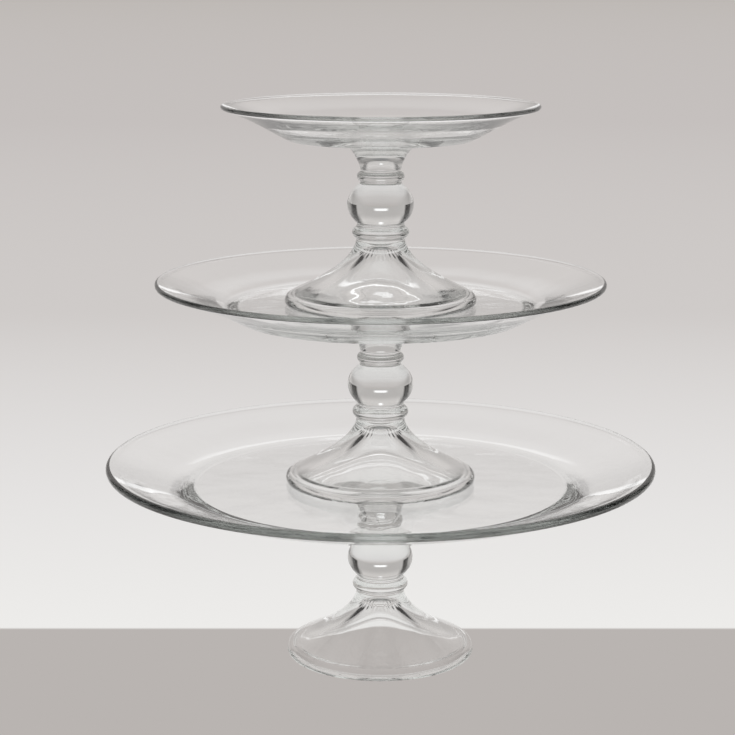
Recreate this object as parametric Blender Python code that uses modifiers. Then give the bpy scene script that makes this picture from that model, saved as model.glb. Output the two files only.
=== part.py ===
"""Three-tier cake stand of pressed clear glass.

Three separate footed stands of falling diameter, each standing on the plate below.
A stand is two pressings fused at its narrow neck: a dished plate with a short boss
under it, and a turned pedestal with a ball stem and a hollow bell foot.

Units are metres, +Z is up, and the origin is on the table under the stands' axis.
Every outline is a list of (radius, height) points that runs from the axis over the
top, down the outer side and back to the axis underneath, so the Screw modifier that
turns it gives a closed body that faces outwards.
"""

import math

import bpy

MM = 0.001

# Driving dimensions of the pedestal. Heights count from the foot that it stands on, and
# a ring's depth is how far it stands proud of the stem.
SEAM_HEIGHT = 88.0 * MM                     # the fused seam in the neck
NECK_RADIUS = 12.7 * MM
NECK_HEIGHT = 85.3 * MM                     # where the neck is narrowest
UPPER_RING = {
    "radius": 15.1 * MM,
    "height": 81.2 * MM,
    "depth": 2.4 * MM,
    "half_height": 2.9 * MM,
}
BALL_RADIUS = 21.1 * MM
BALL_HEIGHT = 63.8 * MM
BALL_HALF_HEIGHT = 16.5 * MM
BALL_ARC = (51, -45)                        # degrees up from level at the two rings
LOWER_RING = {
    "radius": 18.0 * MM,
    "height": 46.0 * MM,
    "depth": 3.1 * MM,
    "half_height": 3.5 * MM,
}
STEM_END = (15.5 * MM, 42.0 * MM)           # where the stem runs out into the bell
BELL_HANDLES = ((15.9 * MM, 31.1 * MM), (32.3 * MM, 19.25 * MM))
BELL_TOE = (56.7 * MM, 7.9 * MM)            # where the bell meets the foot's rounded edge
FOOT_RADIUS = 61.0 * MM
FOOT_EDGE_HEIGHT = 7.0 * MM
FOOT_EDGE_DEPTH = 4.0 * MM
STANDING_RING = (54.5 * MM, 60.0 * MM)      # inner and outer radius of the flat under it
HOLLOW_LIP = (53.5 * MM, 2.5 * MM)          # top of the steep lip round the hollow's mouth
HOLLOW_HANDLES = ((30.0 * MM, 10.0 * MM), (14.0 * MM, 22.0 * MM))
HOLLOW_SHOULDER = (8.0 * MM, 31.5 * MM)     # where the hollow's wall meets its domed crown
HOLLOW_HEIGHT = 36.5 * MM

# Driving dimensions of the plates, from the table up. Heights in a plate are counted
# from its floor, except underside_height, which counts from the foot of its stand. The
# floor turns up into the flange at floor_radius, in a curve that starts floor_setback
# before it; the flange and its underside each change slope once more at their bend.
PLATES = {
    "bottom": {
        "radius": 176.5 * MM,
        "floor_radius": 129.0 * MM,
        "floor_setback": 10.0 * MM,
        "flange_bend": (160.0 * MM, 10.3 * MM),
        "base_radius": 120.0 * MM,
        "thickness": 8.4 * MM,
        "rim_height": 12.7 * MM,
        "rim_thickness": 5.0 * MM,
        "underside_bend": (160.0 * MM, 4.6 * MM),
        "underside_height": 106.8 * MM,
    },
    "middle": {
        "radius": 143.0 * MM,
        "floor_radius": 97.0 * MM,
        "floor_setback": 3.0 * MM,
        "flange_bend": (102.8 * MM, 3.15 * MM),
        "base_radius": 91.0 * MM,
        "thickness": 8.4 * MM,
        "rim_height": 14.5 * MM,
        "rim_thickness": 3.4 * MM,
        "underside_bend": (113.0 * MM, 3.0 * MM),
        "underside_height": 107.3 * MM,
    },
    "top": {
        "radius": 100.0 * MM,
        "floor_radius": 64.5 * MM,
        "floor_setback": 4.0 * MM,
        "flange_bend": (76.5 * MM, 6.46 * MM),
        "base_radius": 58.0 * MM,
        "thickness": 8.0 * MM,
        "rim_height": 13.1 * MM,
        "rim_thickness": 2.8 * MM,
        "underside_bend": (86.0 * MM, 7.0 * MM),
        "underside_height": 104.0 * MM,
    },
}
BOSS_RADIUS = 30.0 * MM                     # where the boss meets the plate's underside
BOSS_HANDLE_RADIUS = 19.2 * MM
BOSS_FILLET = 2.0 * MM
NECK_FLARE = 0.2 * MM                       # how much wider the neck is at the seam

# How far from a corner its rounding starts
FLANGE_BEND_SETBACK = 3.0 * MM
UNDERSIDE_BEND_SETBACK = 9.0 * MM
BASE_EDGE_SETBACK = 2.5 * MM

# How the bodies are turned and set apart
PLATE_TURN_STEPS = 48
PEDESTAL_TURN_STEPS = 32
MERGE_DISTANCE = 0.01 * MM
CLEARANCE = 0.3 * MM                        # kept between pieces that touch

# Glass
GLASS_COLOUR = (0.86, 0.93, 0.91, 1.0)
GLASS_ROUGHNESS = 0.03
GLASS_IOR = 1.52


def ellipse_arc(centre, half_width, half_height, start_deg, end_deg, segments):
    """Points on an ellipse arc; 0 degrees points away from the axis and 90 up."""
    points = []
    for i in range(segments + 1):
        angle = math.radians(start_deg + (end_deg - start_deg) * i / segments)
        radius = centre[0] + half_width * math.cos(angle)
        height = centre[1] + half_height * math.sin(angle)
        points.append((radius, height))
    return points


def bezier(start, start_handle, end_handle, end, segments):
    """Points on a cubic Bezier curve, both ends included."""
    controls = (start, start_handle, end_handle, end)
    points = []
    for i in range(segments + 1):
        t = i / segments
        weights = ((1 - t) ** 3, 3 * t * (1 - t) ** 2, 3 * t * t * (1 - t), t ** 3)
        radius = sum(weight * control[0] for weight, control in zip(weights, controls))
        height = sum(weight * control[1] for weight, control in zip(weights, controls))
        points.append((radius, height))
    return points


def toward(start, end, distance):
    """The point that lies this far from start on the line to end."""
    share = distance / math.dist(start, end)
    return (start[0] + (end[0] - start[0]) * share, start[1] + (end[1] - start[1]) * share)


def rounded_corner(before, corner, after, setback):
    """A short curve that cuts a corner, leaving its two sides this far from it."""
    return bezier(
        toward(corner, before, setback),
        toward(corner, before, setback / 3),
        toward(corner, after, setback / 3),
        toward(corner, after, setback),
        segments=3,
    )


def ring_outline(ring):
    """The outer side of a raised ring round the stem."""
    centre = (ring["radius"] - ring["depth"], ring["height"])
    return ellipse_arc(centre, ring["depth"], ring["half_height"], 75, -75, segments=4)


def foot_edge():
    """The rounded edge of the foot, down to the flat ring that it stands on."""
    height = FOOT_EDGE_HEIGHT * 0.4
    centre = (FOOT_RADIUS - FOOT_EDGE_DEPTH, height)
    nose = ellipse_arc(
        centre, FOOT_EDGE_DEPTH, FOOT_EDGE_HEIGHT - height, 80, -20, segments=5,
    )
    return nose + [(STANDING_RING[1], 0.0)]


def hollow_outline():
    """Lip, wall and domed crown of the hollow in the foot, up to the axis."""
    wall = bezier(HOLLOW_LIP, *HOLLOW_HANDLES, HOLLOW_SHOULDER, segments=6)
    crown_centre = (0.0, HOLLOW_SHOULDER[1])
    crown_height = HOLLOW_HEIGHT - HOLLOW_SHOULDER[1]
    crown = ellipse_arc(crown_centre, HOLLOW_SHOULDER[0], crown_height, 30, 90, segments=2)
    return [(STANDING_RING[0], 0.0)] + wall + crown[:-1] + [(0.0, HOLLOW_HEIGHT)]


def pedestal_outline():
    """Neck, upper ring, ball, lower ring, bell, foot and hollow, above the stand's base."""
    neck = [(0.0, SEAM_HEIGHT), (NECK_RADIUS + NECK_FLARE / 2, SEAM_HEIGHT)]
    ball = ellipse_arc((0.0, BALL_HEIGHT), BALL_RADIUS, BALL_HALF_HEIGHT, *BALL_ARC, segments=8)
    bell = bezier(STEM_END, *BELL_HANDLES, BELL_TOE, segments=7)
    return (
        neck
        + [(NECK_RADIUS, NECK_HEIGHT)]
        + ring_outline(UPPER_RING)
        + ball
        + ring_outline(LOWER_RING)
        + bell
        + foot_edge()
        + hollow_outline()
    )


def boss_outline(base, seam):
    """The boss that flares from the seam in the neck to the plate's flat underside."""
    neck = NECK_RADIUS + NECK_FLARE
    flare = bezier(
        (BOSS_RADIUS, base),
        (BOSS_HANDLE_RADIUS, base - BOSS_FILLET),
        (neck + BOSS_FILLET, seam + (base - seam) * 0.35),
        (neck, seam),
        segments=5,
    )
    return flare + [(0.0, seam)]


def plate_outline(plate):
    """Floor, flange, rim, underside and boss, above the plate's floor."""
    half_rim = plate["rim_thickness"] / 2
    rim_centre = (plate["radius"] - half_rim, plate["rim_height"])
    rim = ellipse_arc(rim_centre, half_rim, half_rim, 120, -80, segments=5)

    floor_centre = (0.0, 0.0)
    floor_edge = (plate["floor_radius"], 0.0)
    flange_bend = plate["flange_bend"]
    base = -plate["thickness"]
    base_edge = (plate["base_radius"], base)
    base_centre = (0.0, base)
    underside_bend = plate["underside_bend"]
    seam = base - (plate["underside_height"] - SEAM_HEIGHT) + CLEARANCE
    return (
        [floor_centre]
        + rounded_corner(floor_centre, floor_edge, flange_bend, plate["floor_setback"])
        + rounded_corner(floor_edge, flange_bend, rim[0], FLANGE_BEND_SETBACK)
        + rim
        + rounded_corner(rim[-1], underside_bend, base_edge, UNDERSIDE_BEND_SETBACK)
        + rounded_corner(underside_bend, base_edge, base_centre, BASE_EDGE_SETBACK)
        + boss_outline(base, seam)
    )


def glass_material(name):
    material = bpy.data.materials.new(name)
    material.use_nodes = True
    shader = material.node_tree.nodes["Principled BSDF"]
    shader.inputs["Base Color"].default_value = GLASS_COLOUR
    shader.inputs["Metallic"].default_value = 0.0
    shader.inputs["Roughness"].default_value = GLASS_ROUGHNESS
    shader.inputs["IOR"].default_value = GLASS_IOR
    shader.inputs["Transmission Weight"].default_value = 1.0
    return material


def add_turned(name, outline, turn_steps, height, stand, collection):
    """Turn an outline once round Z as a smooth-shaded piece at a height on its stand."""
    mesh = bpy.data.meshes.new(name)
    points = [(radius, 0.0, level) for radius, level in outline]
    edges = [(i, i + 1) for i in range(len(points) - 1)]
    mesh.from_pydata(points, edges, [])
    mesh.materials.append(glass_material(name + "_glass"))

    turned = bpy.data.objects.new(name, mesh)
    collection.objects.link(turned)
    turned.parent = stand
    turned.location = (0.0, 0.0, height)

    screw = turned.modifiers.new("turned", 'SCREW')
    screw.steps = turn_steps
    screw.render_steps = turn_steps
    screw.use_merge_vertices = True
    screw.merge_threshold = MERGE_DISTANCE
    screw.use_smooth_shade = True


def add_stand(tier, plate, height, carrier, collection):
    """One footed stand on its own empty, whose origin is on the axis at its base."""
    stand = bpy.data.objects.new(tier + "_stand", None)
    collection.objects.link(stand)
    stand.parent = carrier
    stand.location = (0.0, 0.0, height)

    floor_height = plate["underside_height"] + plate["thickness"]
    add_turned(
        tier + "_pedestal", pedestal_outline(), PEDESTAL_TURN_STEPS, 0.0, stand, collection,
    )
    add_turned(
        tier + "_plate", plate_outline(plate), PLATE_TURN_STEPS, floor_height, stand, collection,
    )
    return stand, floor_height


def main():
    for old in list(bpy.data.objects):
        bpy.data.objects.remove(old)

    collection = bpy.data.collections.new("cake_stand")
    bpy.context.scene.collection.children.link(collection)

    # The plate of each stand carries the foot of the next
    carrier = None
    height = 0.0
    for tier, plate in PLATES.items():
        carrier, floor_height = add_stand(tier, plate, height, carrier, collection)
        height = floor_height + CLEARANCE


main()
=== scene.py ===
"""Looks of the three-tier cake stand of pressed clear glass.

Each stand is one lump of glass, a dished plate fused to its pedestal at the neck, so one
finely turned piece stands for each pair of frame nodes and rides with that stand's body.
Sizes are in metres. Outlines are (radius, height) points that run from the axis over the
top of the plate, down the outer side and up the hollow foot, back to the axis.
"""

import math

import bpy
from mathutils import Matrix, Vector, noise


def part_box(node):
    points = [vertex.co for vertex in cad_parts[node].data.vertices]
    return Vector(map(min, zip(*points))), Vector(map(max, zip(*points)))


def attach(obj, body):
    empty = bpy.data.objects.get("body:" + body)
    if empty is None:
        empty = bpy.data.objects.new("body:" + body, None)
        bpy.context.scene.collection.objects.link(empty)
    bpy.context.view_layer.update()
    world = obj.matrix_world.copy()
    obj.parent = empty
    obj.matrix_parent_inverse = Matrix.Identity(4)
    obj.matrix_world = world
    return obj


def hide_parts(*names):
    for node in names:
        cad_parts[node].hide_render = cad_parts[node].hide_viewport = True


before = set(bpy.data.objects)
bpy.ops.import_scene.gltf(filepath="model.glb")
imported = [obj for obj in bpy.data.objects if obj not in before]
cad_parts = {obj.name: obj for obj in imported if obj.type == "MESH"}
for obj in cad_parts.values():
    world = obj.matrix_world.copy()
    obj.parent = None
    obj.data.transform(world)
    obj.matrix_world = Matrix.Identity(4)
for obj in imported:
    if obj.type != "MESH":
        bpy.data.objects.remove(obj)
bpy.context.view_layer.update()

MM = 0.001

# Pedestal, above the foot it stands on
NECK_RADIUS = 12.7 * MM
NECK_HEIGHT = 85.3 * MM
UPPER_RING = {"radius": 15.1 * MM, "height": 81.2 * MM, "depth": 2.4 * MM, "half_height": 2.9 * MM}
BALL_RADIUS = 21.1 * MM
BALL_HEIGHT = 63.8 * MM
BALL_HALF_HEIGHT = 16.5 * MM
BALL_ARC = (51, -45)  # degrees over and under level
RING_ARC = (75, -75)
LOWER_RING = {"radius": 18.0 * MM, "height": 46.0 * MM, "depth": 3.1 * MM, "half_height": 3.5 * MM}
STEM_END = (15.5 * MM, 42.0 * MM)
BELL_HANDLES = ((15.9 * MM, 31.1 * MM), (32.3 * MM, 19.25 * MM))
BELL_TOE = (56.7 * MM, 7.9 * MM)
FOOT_EDGE_HEIGHT = 7.0 * MM
FOOT_EDGE_DEPTH = 4.0 * MM
FOOT_EDGE_WIDEST = 0.4  # share of its height at which the foot's edge is widest
FOOT_EDGE_ARC = (80, -20)
STANDING_RING = (54.5 * MM, 60.0 * MM)
HOLLOW_LIP = (53.5 * MM, 2.5 * MM)
HOLLOW_HANDLES = ((30.0 * MM, 10.0 * MM), (14.0 * MM, 22.0 * MM))
HOLLOW_SHOULDER = (8.0 * MM, 31.5 * MM)
HOLLOW_HEIGHT = 36.5 * MM

# A ring of shallow flutes round the shoulder of the hollow
HOLLOW_FLUTES = 26
HOLLOW_FLUTE_RADIUS = 8.5 * MM
HOLLOW_FLUTE_WIDTH = 1.6 * MM
HOLLOW_FLUTE_DEPTH = 0.15 * MM

# Plates. floor_height counts from the foot of the stand, every other height from the floor
PLATES = {
    "bottom": {
        "floor_height": 115.2 * MM,
        "floor_radius": 129.0 * MM,
        "floor_setback": 10.0 * MM,
        "flange_bend": (160.0 * MM, 10.3 * MM),
        "base_radius": 120.0 * MM,
        "thickness": 8.4 * MM,
        "rim_thickness": 5.0 * MM,
        "underside_bend": (160.0 * MM, 4.6 * MM),
    },
    "middle": {
        "floor_height": 115.7 * MM,
        "floor_radius": 97.0 * MM,
        "floor_setback": 3.0 * MM,
        "flange_bend": (102.8 * MM, 3.15 * MM),
        "base_radius": 91.0 * MM,
        "thickness": 8.4 * MM,
        "rim_thickness": 3.4 * MM,
        "underside_bend": (113.0 * MM, 3.0 * MM),
    },
    "top": {
        "floor_height": 112.0 * MM,
        "floor_radius": 64.5 * MM,
        "floor_setback": 4.0 * MM,
        "flange_bend": (76.5 * MM, 6.46 * MM),
        "base_radius": 58.0 * MM,
        "thickness": 8.0 * MM,
        "rim_thickness": 2.8 * MM,
        "underside_bend": (86.0 * MM, 7.0 * MM),
    },
}
RIM_ARC = (120, -80)
FLANGE_BEND_SETBACK = 3.0 * MM
UNDERSIDE_BEND_SETBACK = 9.0 * MM
BASE_EDGE_SETBACK = 1.5 * MM
# The boss under a plate; its handles count from the plate's base and from the neck
BOSS_RADIUS = 30.0 * MM
BOSS_BASE_HANDLE = (19.2 * MM, -2.0 * MM)
BOSS_NECK_HANDLE = (2.2 * MM, 8.0 * MM)

# How finely outlines are drawn and turned
LONGEST_STEP = 4.0 * MM
SAME_POINT = 0.02 * MM
ARC_SEGMENTS = 16
CORNER_SEGMENTS = 10
RIM_SEGMENTS = 20
BALL_SEGMENTS = 40
BELL_SEGMENTS = 40
HOLLOW_SEGMENTS = 44
TURN_STEPS = 256
ON_AXIS = 1e-7
ON_TABLE = 1e-9
SHORTEST = 1e-9

# Ripples of the pressed surface, which fade out near the axis, the rim and the table
RIPPLE_SCALE = 28.0 * MM
RIPPLE_HEIGHT = 0.08 * MM
FINE_RIPPLE_SHARE = 0.4
FINE_RIPPLE_SCALE = 2.7
RIPPLE_AXIS_FADE = 8.0 * MM
RIPPLE_RIM_MARGIN = 5.0 * MM
RIPPLE_RIM_FADE = 12.0 * MM
RIPPLE_TABLE_FADE = 8.0 * MM

# Glass
GLASS_IOR = 1.52
HAZE_SCALE = 22.0
HAZE_DETAIL = 4.0
HAZE_SPREAD = (0.45, 0.75)
HAZE_ROUGHNESS = 0.03
PEEL_SCALE = 90.0
PEEL_DETAIL = 2.0
PEEL_STRENGTH = 0.25
PEEL_DEPTH = 0.1 * MM
ABSORPTION_COLOUR = (0.48, 0.56, 0.53, 1.0)
ABSORPTION_DENSITY = 3.0

# Camera
CAMERA_PLACE = (-0.0083, -1.2734, 0.4565)
CAMERA_PITCH = math.radians(-11.83)
CAMERA_LENS = 99.39
CAMERA_SENSOR = 36.0
CAMERA_CLIP = (0.05, 100.0)

# Studio light: (degrees round from the backdrop, brightness) low, middle and high up. Panels
# of light stand at the sides, with dark gaps between them and the backdrop.
SKY_LOW = (
    (-180, 0.06), (-155, 0.06), (-138, 0.25), (-112, 0.40), (-90, 0.38), (-62, 0.32), (-54, 0.28),
    (-50, 0.01), (-38, 0.01), (-34, 0.50), (34, 0.50), (38, 0.01), (50, 0.01), (54, 0.20),
    (62, 0.28), (90, 0.36), (112, 0.36), (138, 0.25), (155, 0.06), (180, 0.06),
)
SKY_MIDDLE = (
    (-180, 0.07), (-150, 0.10), (-125, 0.28), (-100, 0.28), (-85, 0.05), (-38, 0.03), (-28, 0.66),
    (0, 0.66), (28, 0.66), (38, 0.03), (85, 0.05), (100, 0.25), (125, 0.22), (150, 0.08), (180, 0.07),
)
SKY_HIGH = (
    (-180, 0.16), (-140, 0.30), (-60, 0.46), (-25, 0.66), (25, 0.66), (60, 0.34), (140, 0.30), (180, 0.16),
)
WARMTH = (1.0, 0.96, 0.935)
ZENITH_GREY = (0.25, 0.25, 0.25)
# Where each level gives way to the next. Heights in the sky are sines of the elevation
MIDDLE_SKY = (0.18, 0.36)
HIGH_SKY = (0.66, 0.80)
ZENITH = (0.93, 0.98)
# Bright bars: lowest and highest point, half width in degrees, brightness
BARS = ((0.02, 0.10, 10, 1.25), (0.36, 0.46, 5, 1.3))
BAR_SIDE_BLUR = 5
BAR_EDGE_BLUR = 0.03

# Floor: it glows by itself with painted light and shade: a grey table in front, a backdrop behind it with
# painted light, and painted light of the panels around both.
# Distances are in metres from the axis of the stands
FLOOR_SIZE = 60.0
TABLE_BACK = (0.038, 0.043)
BACKDROP_REACH = 16.0
# Painted light: the backdrop's glow, from near the stands to far away
BACKDROP = (
    (0.0, (238, 237, 235)),
    (0.40, (228, 226, 225)),
    (1.23, (207, 203, 201)),
    (4.0, (197, 192, 190)),
    (BACKDROP_REACH, (190, 185, 181)),
)
TABLE_COLOUR = (185, 180, 177)
# Painted light: a lit field over the table and backdrop, widening and blurring away from the front
LIT_HALF_WIDTH = 0.25
LIT_WIDENING = 0.19
LIT_BLUR_WIDENING = 0.3
LIT_FRONT_FADE = (0.25, 0.5)
# Painted light and shade round the floor: bright pools of the side panels, dark gaps between them
FLOOR_PAINTED_LIGHT = (
    (-180, 0.36), (-150, 0.36), (-112, 0.70), (-90, 0.90), (-62, 0.80), (-48, 0.45), (-34, 0.52),
    (34, 0.52), (48, 0.45), (62, 0.80), (90, 0.90), (112, 0.70), (150, 0.36), (180, 0.36),
)


def ellipse_arc(centre, half_width, half_height, start_deg, end_deg, segments=ARC_SEGMENTS):
    points = []
    for i in range(segments + 1):
        angle = math.radians(start_deg + (end_deg - start_deg) * i / segments)
        across = centre[0] + half_width * math.cos(angle)
        points.append((across, centre[1] + half_height * math.sin(angle)))
    return points


def bezier(start, start_handle, end_handle, end, segments):
    controls = (start, start_handle, end_handle, end)
    points = []
    for i in range(segments + 1):
        t = i / segments
        weights = ((1 - t) ** 3, 3 * t * (1 - t) ** 2, 3 * t * t * (1 - t), t ** 3)
        points.append(tuple(sum(w * c[k] for w, c in zip(weights, controls)) for k in (0, 1)))
    return points


def straight(start, end, segments):
    """Points along a line, without its two ends."""
    return [
        tuple(start[k] + (end[k] - start[k]) * i / segments for k in (0, 1))
        for i in range(1, segments)
    ]


def toward(start, end, distance):
    """The point at a distance from the start on the way to the end."""
    share = distance / math.dist(start, end)
    return (start[0] + (end[0] - start[0]) * share, start[1] + (end[1] - start[1]) * share)


def rounded_corner(before, corner, after, setback):
    return bezier(
        toward(corner, before, setback),
        toward(corner, before, setback / 3),
        toward(corner, after, setback / 3),
        toward(corner, after, setback),
        CORNER_SEGMENTS,
    )


def joined(parts):
    """One outline from several runs, with straight runs filled in between them."""
    outline = list(parts[0])
    for part in parts[1:]:
        gap = math.dist(outline[-1], part[0])
        steps = max(1, int(gap / LONGEST_STEP))
        outline += straight(outline[-1], part[0], steps)
        if gap < SAME_POINT:
            part = part[1:]
        outline += part
    return outline


def ring_outline(ring):
    centre = (ring["radius"] - ring["depth"], ring["height"])
    return ellipse_arc(centre, ring["depth"], ring["half_height"], *RING_ARC)


def pedestal_outline():
    """Runs from the upper ring down to the foot and up the hollow to the axis."""
    widest_level = FOOT_EDGE_HEIGHT * FOOT_EDGE_WIDEST
    foot_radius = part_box("bottom_pedestal")[1].x
    nose_centre = (foot_radius - FOOT_EDGE_DEPTH, widest_level)
    nose_height = FOOT_EDGE_HEIGHT - widest_level
    crown_height = HOLLOW_HEIGHT - HOLLOW_SHOULDER[1]
    crown = ellipse_arc((0.0, HOLLOW_SHOULDER[1]), HOLLOW_SHOULDER[0], crown_height, 0, 90)
    return [
        ring_outline(UPPER_RING),
        ellipse_arc((0.0, BALL_HEIGHT), BALL_RADIUS, BALL_HALF_HEIGHT, *BALL_ARC, BALL_SEGMENTS),
        ring_outline(LOWER_RING),
        bezier(STEM_END, *BELL_HANDLES, BELL_TOE, BELL_SEGMENTS),
        ellipse_arc(nose_centre, FOOT_EDGE_DEPTH, nose_height, *FOOT_EDGE_ARC),
        [(STANDING_RING[1], 0.0)],
        [(STANDING_RING[0], 0.0)],
        bezier(HOLLOW_LIP, *HOLLOW_HANDLES, HOLLOW_SHOULDER, HOLLOW_SEGMENTS),
        crown[1:-1] + [(0.0, HOLLOW_HEIGHT)],
    ]


def boss_outline(base):
    """From the flat under a plate, at the height of its base, into the neck."""
    base_handle = (BOSS_BASE_HANDLE[0], base + BOSS_BASE_HANDLE[1])
    neck_handle = (NECK_RADIUS + BOSS_NECK_HANDLE[0], NECK_HEIGHT + BOSS_NECK_HANDLE[1])
    return bezier((BOSS_RADIUS, base), base_handle, neck_handle, (NECK_RADIUS, NECK_HEIGHT), ARC_SEGMENTS)


def stand_outline(tier, plate):
    """The whole stand, above its own foot."""
    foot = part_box(tier + "_pedestal")[0].z
    plate_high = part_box(tier + "_plate")[1]
    half_rim = plate["rim_thickness"] / 2
    floor = plate["floor_height"]
    rim_centre = (plate_high.x - half_rim, plate_high.z - foot - half_rim)
    rim = ellipse_arc(rim_centre, half_rim, half_rim, *RIM_ARC, RIM_SEGMENTS)
    floor_edge = (plate["floor_radius"], floor)
    flange_bend = (plate["flange_bend"][0], floor + plate["flange_bend"][1])
    base = floor - plate["thickness"]
    base_edge = (plate["base_radius"], base)
    bend = (plate["underside_bend"][0], floor + plate["underside_bend"][1])
    return joined([
        [(0.0, floor)],
        rounded_corner((0.0, floor), floor_edge, flange_bend, plate["floor_setback"]),
        rounded_corner(floor_edge, flange_bend, rim[0], FLANGE_BEND_SETBACK),
        rim,
        rounded_corner(rim[-1], bend, base_edge, UNDERSIDE_BEND_SETBACK),
        rounded_corner(bend, base_edge, (0.0, base), BASE_EDGE_SETBACK),
        boss_outline(base),
        *pedestal_outline(),
    ])


def normals(outline):
    """Unit vectors across an outline, pointing out of the glass."""
    found = []
    for i in range(len(outline)):
        before = outline[max(i - 1, 0)]
        after = outline[min(i + 1, len(outline) - 1)]
        run, rise = after[0] - before[0], after[1] - before[1]
        length = max(math.hypot(run, rise), SHORTEST)
        found.append((-rise / length, run / length))
    return found


def pressed(radius, height, angle, widest, inside_foot, seed):
    """How far the pressed surface stands out of its turned outline here.

    The seed shifts the ripples, so that no two stands have the same ones.
    """
    place = Vector((radius * math.cos(angle), radius * math.sin(angle), seed + height)) / RIPPLE_SCALE
    fine = FINE_RIPPLE_SHARE * noise.noise(place * FINE_RIPPLE_SCALE)
    ripple = RIPPLE_HEIGHT * (noise.noise(place) + fine)
    ripple *= min(1.0, radius / RIPPLE_AXIS_FADE)
    ripple *= min(1.0, max(0.0, widest - radius - RIPPLE_RIM_MARGIN) / RIPPLE_RIM_FADE)
    ripple *= min(1.0, height / RIPPLE_TABLE_FADE)
    if inside_foot:
        nearness = (radius - HOLLOW_FLUTE_RADIUS) / HOLLOW_FLUTE_WIDTH
        ripple += HOLLOW_FLUTE_DEPTH * math.exp(-nearness * nearness) * math.cos(HOLLOW_FLUTES * angle)
    return ripple


def turned(outline, foot):
    """Vertices and faces of an outline turned about the axis, with its pressed surface."""
    outward = normals(outline)
    widest = max(radius for radius, height in outline)
    first_inside = max(i for i, point in enumerate(outline) if point[1] <= ON_TABLE)
    verts, faces, rings = [], [], []
    for index, (radius, height) in enumerate(outline):
        if radius < ON_AXIS:
            rings.append([len(verts)])
            verts.append((0.0, 0.0, foot + height))
            continue
        ring = []
        for k in range(TURN_STEPS):
            angle = 2 * math.pi * k / TURN_STEPS
            lift = pressed(radius, height, angle, widest, index > first_inside, foot)
            out = radius + lift * outward[index][0]
            up = foot + height + lift * outward[index][1]
            ring.append(len(verts))
            verts.append((out * math.cos(angle), out * math.sin(angle), up))
        rings.append(ring)
    for upper, lower in zip(rings, rings[1:]):
        for k in range(TURN_STEPS):
            following = (k + 1) % TURN_STEPS
            if len(upper) == 1:
                faces.append((upper[0], lower[k], lower[following]))
            elif len(lower) == 1:
                faces.append((upper[k], lower[0], upper[following]))
            else:
                faces.append((upper[k], lower[k], lower[following], upper[following]))
    return verts, faces


def build_stand(tier, plate, material):
    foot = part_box(tier + "_pedestal")[0].z
    verts, faces = turned(stand_outline(tier, plate), foot)
    mesh = bpy.data.meshes.new(tier + "_stand_glass")
    mesh.from_pydata(verts, [], faces)
    mesh.materials.append(material)
    mesh.shade_smooth()
    stand = bpy.data.objects.new(tier + "_stand_glass", mesh)
    bpy.context.scene.collection.objects.link(stand)
    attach(stand, tier + "_stand")
    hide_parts(tier + "_plate", tier + "_pedestal")


def noise_texture(nodes, links, coords, scale, detail):
    node = nodes.new("ShaderNodeTexNoise")
    node.inputs["Scale"].default_value = scale
    node.inputs["Detail"].default_value = detail
    links.new(coords.outputs["Object"], node.inputs["Vector"])
    return node.outputs["Fac"]


def glass_material():
    material = bpy.data.materials.new("pressed_glass")
    material.use_nodes = True
    nodes, links = material.node_tree.nodes, material.node_tree.links
    shader = nodes["Principled BSDF"]
    shader.inputs["Base Color"].default_value = (1.0, 1.0, 1.0, 1.0)
    shader.inputs["IOR"].default_value = GLASS_IOR
    shader.inputs["Transmission Weight"].default_value = 1.0

    # Fire polish leaves faint cloudy patches and a shallow orange peel
    coords = nodes.new("ShaderNodeTexCoord")
    haze = nodes.new("ShaderNodeMapRange")
    haze.inputs["From Min"].default_value = HAZE_SPREAD[0]
    haze.inputs["From Max"].default_value = HAZE_SPREAD[1]
    haze.inputs["To Max"].default_value = HAZE_ROUGHNESS
    clouds = noise_texture(nodes, links, coords, HAZE_SCALE, HAZE_DETAIL)
    links.new(clouds, haze.inputs["Value"])
    links.new(haze.outputs["Result"], shader.inputs["Roughness"])
    bump = nodes.new("ShaderNodeBump")
    bump.inputs["Strength"].default_value = PEEL_STRENGTH
    bump.inputs["Distance"].default_value = PEEL_DEPTH
    peel = noise_texture(nodes, links, coords, PEEL_SCALE, PEEL_DETAIL)
    links.new(peel, bump.inputs["Height"])
    links.new(bump.outputs["Normal"], shader.inputs["Normal"])

    absorb = nodes.new("ShaderNodeVolumeAbsorption")
    absorb.inputs["Color"].default_value = ABSORPTION_COLOUR
    absorb.inputs["Density"].default_value = ABSORPTION_DENSITY
    links.new(absorb.outputs["Volume"], nodes["Material Output"].inputs["Volume"])
    return material


def ramp(nodes, stops):
    """A colour ramp with (place, colour) stops; places run from 0 to 1."""
    node = nodes.new("ShaderNodeValToRGB")
    elements = node.color_ramp.elements
    while len(elements) > 1:
        elements.remove(elements[-1])
    for i, (place, colour) in enumerate(stops):
        element = elements[0] if i == 0 else elements.new(place)
        element.position = place
        element.color = (*colour, 1.0)
    return node


def linear(colour):
    """Linear RGB of an sRGB colour whose parts are all above 10."""
    return tuple(((value / 255 + 0.055) / 1.055) ** 2.4 for value in colour)


def math_node(nodes, links, operation, first, second=None, clamp=False):
    """A maths node on two values; each is a number or another node's output."""
    node = nodes.new("ShaderNodeMath")
    node.operation = operation
    node.use_clamp = clamp
    for socket, value in zip(node.inputs, (first, second)):
        if value is None:
            continue
        if isinstance(value, (int, float)):
            socket.default_value = value
        else:
            links.new(value, socket)
    return node.outputs[0]


def smooth_step(nodes, links, value, low, high):
    """0 below low, 1 above high, and a smooth turn between them."""
    node = nodes.new("ShaderNodeMapRange")
    node.interpolation_type = "SMOOTHSTEP"
    node.inputs["From Min"].default_value = low
    node.inputs["From Max"].default_value = high
    links.new(value, node.inputs["Value"])
    return node.outputs["Result"]


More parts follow.
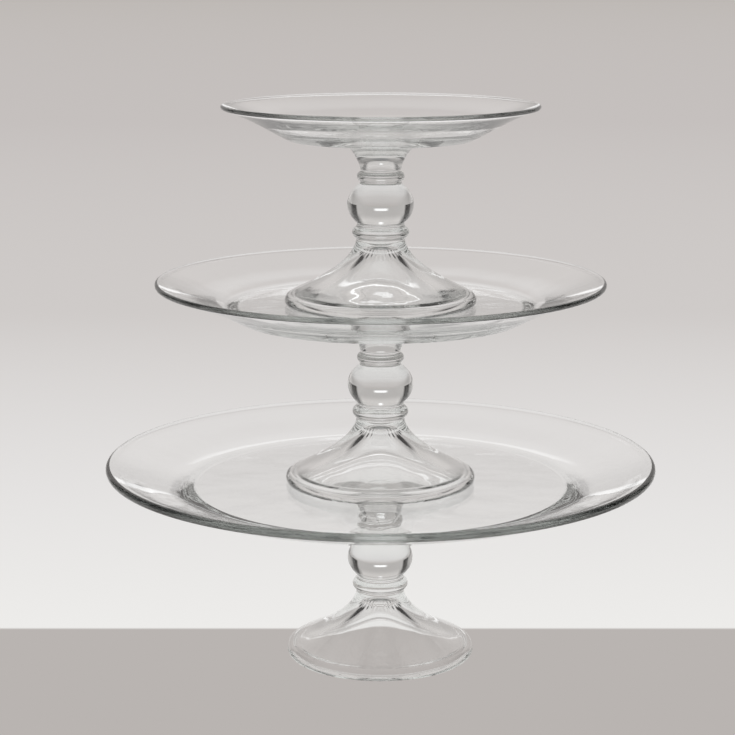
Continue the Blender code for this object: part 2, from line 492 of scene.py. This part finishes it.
def blend_colours(nodes, links, factor, first, second):
    node = nodes.new("ShaderNodeMix")
    node.data_type = "RGBA"
    links.new(factor, node.inputs["Factor"])
    for socket, colour in ((node.inputs["A"], first), (node.inputs["B"], second)):
        if isinstance(colour, tuple):
            socket.default_value = (*colour, 1.0)
        else:
            links.new(colour, socket)
    return node.outputs["Result"]


def bearing(nodes, links, x, y):
    """Direction round the table: 0.5 toward the backdrop (+Y), more toward +X, 0 and 1 in front."""
    turn = math_node(nodes, links, "ARCTAN2", x, y)
    share = math_node(nodes, links, "DIVIDE", turn, 2 * math.pi)
    return math_node(nodes, links, "ADD", share, 0.5)


def warm(grey):
    return tuple(grey * share for share in WARMTH)


def round_ramp(nodes, links, place, stops):
    """Warm greys at given bearings in degrees from the backdrop."""
    node = ramp(nodes, [(0.5 + degrees / 360, warm(grey)) for degrees, grey in stops])
    links.new(place, node.inputs["Fac"])
    return node.outputs["Color"]


def floor_material():
    material = bpy.data.materials.new("studio_floor")
    material.use_nodes = True
    nodes, links = material.node_tree.nodes, material.node_tree.links
    nodes.remove(nodes["Principled BSDF"])
    coords = nodes.new("ShaderNodeTexCoord")
    split = nodes.new("ShaderNodeSeparateXYZ")
    links.new(coords.outputs["Object"], split.inputs[0])
    x, y = split.outputs["X"], split.outputs["Y"]

    # Painted light: the glowing backdrop is brightest near the stands and fades with distance
    reach = math_node(nodes, links, "DIVIDE", y, BACKDROP_REACH, clamp=True)
    painted_backdrop_light = ramp(nodes, [(distance / BACKDROP_REACH, linear(colour)) for distance, colour in BACKDROP])
    links.new(reach, painted_backdrop_light.inputs["Fac"])
    behind = smooth_step(nodes, links, y, *TABLE_BACK)
    lit = blend_colours(nodes, links, behind, linear(TABLE_COLOUR), painted_backdrop_light.outputs["Color"])

    # Painted light and shade: outside the lit field the floor is painted with the light of the panels and
    # the shade of the dark gaps
    side = math_node(nodes, links, "ABSOLUTE", x)
    forward = math_node(nodes, links, "MAXIMUM", y, 0.0)
    widening = math_node(nodes, links, "MULTIPLY", forward, LIT_WIDENING)
    beyond = math_node(nodes, links, "SUBTRACT", side, widening)
    past_edge = math_node(nodes, links, "SUBTRACT", beyond, LIT_HALF_WIDTH)
    spread = math_node(nodes, links, "MULTIPLY", forward, LIT_BLUR_WIDENING)
    blur = math_node(nodes, links, "ADD", spread, LIT_HALF_WIDTH)
    fade = smooth_step(nodes, links, math_node(nodes, links, "DIVIDE", past_edge, blur), 0.0, 1.0)
    painted_surround_light = round_ramp(nodes, links, bearing(nodes, links, x, y), FLOOR_PAINTED_LIGHT)
    colour = blend_colours(nodes, links, fade, lit, painted_surround_light)
    in_front = math_node(nodes, links, "MULTIPLY", y, -1.0)
    front_fade = smooth_step(nodes, links, in_front, *LIT_FRONT_FADE)
    colour = blend_colours(nodes, links, front_fade, colour, painted_surround_light)
    # Painted light: the floor glows with these colours by itself and takes no real light or shadow
    glow = nodes.new("ShaderNodeEmission")
    links.new(colour, glow.inputs["Color"])
    links.new(glow.outputs["Emission"], nodes["Material Output"].inputs["Surface"])
    return material


def add_floor():
    bpy.ops.mesh.primitive_plane_add(size=FLOOR_SIZE, location=(0.0, 0.0, 0.0))
    floor = bpy.context.object
    floor.name = "studio_floor"
    floor.data.materials.append(floor_material())


def add_world():
    world = bpy.data.worlds.new("studio")
    bpy.context.scene.world = world
    world.use_nodes = True
    nodes, links = world.node_tree.nodes, world.node_tree.links
    coords = nodes.new("ShaderNodeTexCoord")
    split = nodes.new("ShaderNodeSeparateXYZ")
    links.new(coords.outputs["Generated"], split.inputs[0])
    place = bearing(nodes, links, split.outputs["X"], split.outputs["Y"])
    rise = split.outputs["Z"]

    sky = round_ramp(nodes, links, place, SKY_LOW)
    middle = round_ramp(nodes, links, place, SKY_MIDDLE)
    high = round_ramp(nodes, links, place, SKY_HIGH)
    for span, colour in ((MIDDLE_SKY, middle), (HIGH_SKY, high), (ZENITH, ZENITH_GREY)):
        sky = blend_colours(nodes, links, smooth_step(nodes, links, rise, *span), sky, colour)

    # Bright bars: one at the far end of the backdrop, one high over it
    aside = math_node(nodes, links, "ABSOLUTE", math_node(nodes, links, "SUBTRACT", place, 0.5))
    for lowest, highest, half_width, glow in BARS:
        across = smooth_step(nodes, links, aside, half_width / 360, (half_width - BAR_SIDE_BLUR) / 360)
        over = smooth_step(nodes, links, rise, lowest, lowest + BAR_EDGE_BLUR)
        under = smooth_step(nodes, links, rise, highest, highest - BAR_EDGE_BLUR)
        within = math_node(nodes, links, "MULTIPLY", over, under)
        bar = math_node(nodes, links, "MULTIPLY", across, within)
        sky = blend_colours(nodes, links, bar, sky, (glow, glow, glow))
    links.new(sky, nodes["Background"].inputs["Color"])


def add_camera():
    data = bpy.data.cameras.new("camera")
    data.lens = CAMERA_LENS
    data.sensor_width = CAMERA_SENSOR
    data.clip_start, data.clip_end = CAMERA_CLIP
    camera = bpy.data.objects.new("camera", data)
    bpy.context.scene.collection.objects.link(camera)
    camera.location = CAMERA_PLACE
    camera.rotation_euler = (math.pi / 2 + CAMERA_PITCH, 0.0, 0.0)
    bpy.context.scene.camera = camera


def set_render():
    scene = bpy.context.scene
    scene.view_settings.view_transform = "Standard"
    scene.cycles.max_bounces = 48
    scene.cycles.transmission_bounces = 48
    scene.cycles.glossy_bounces = 16
    scene.cycles.diffuse_bounces = 3
    scene.cycles.use_denoising = True
    scene.cycles.sample_clamp_indirect = 10.0


glass = glass_material()
for tier, plate in PLATES.items():
    build_stand(tier, plate, glass)
add_floor()
add_world()
add_camera()
set_render()
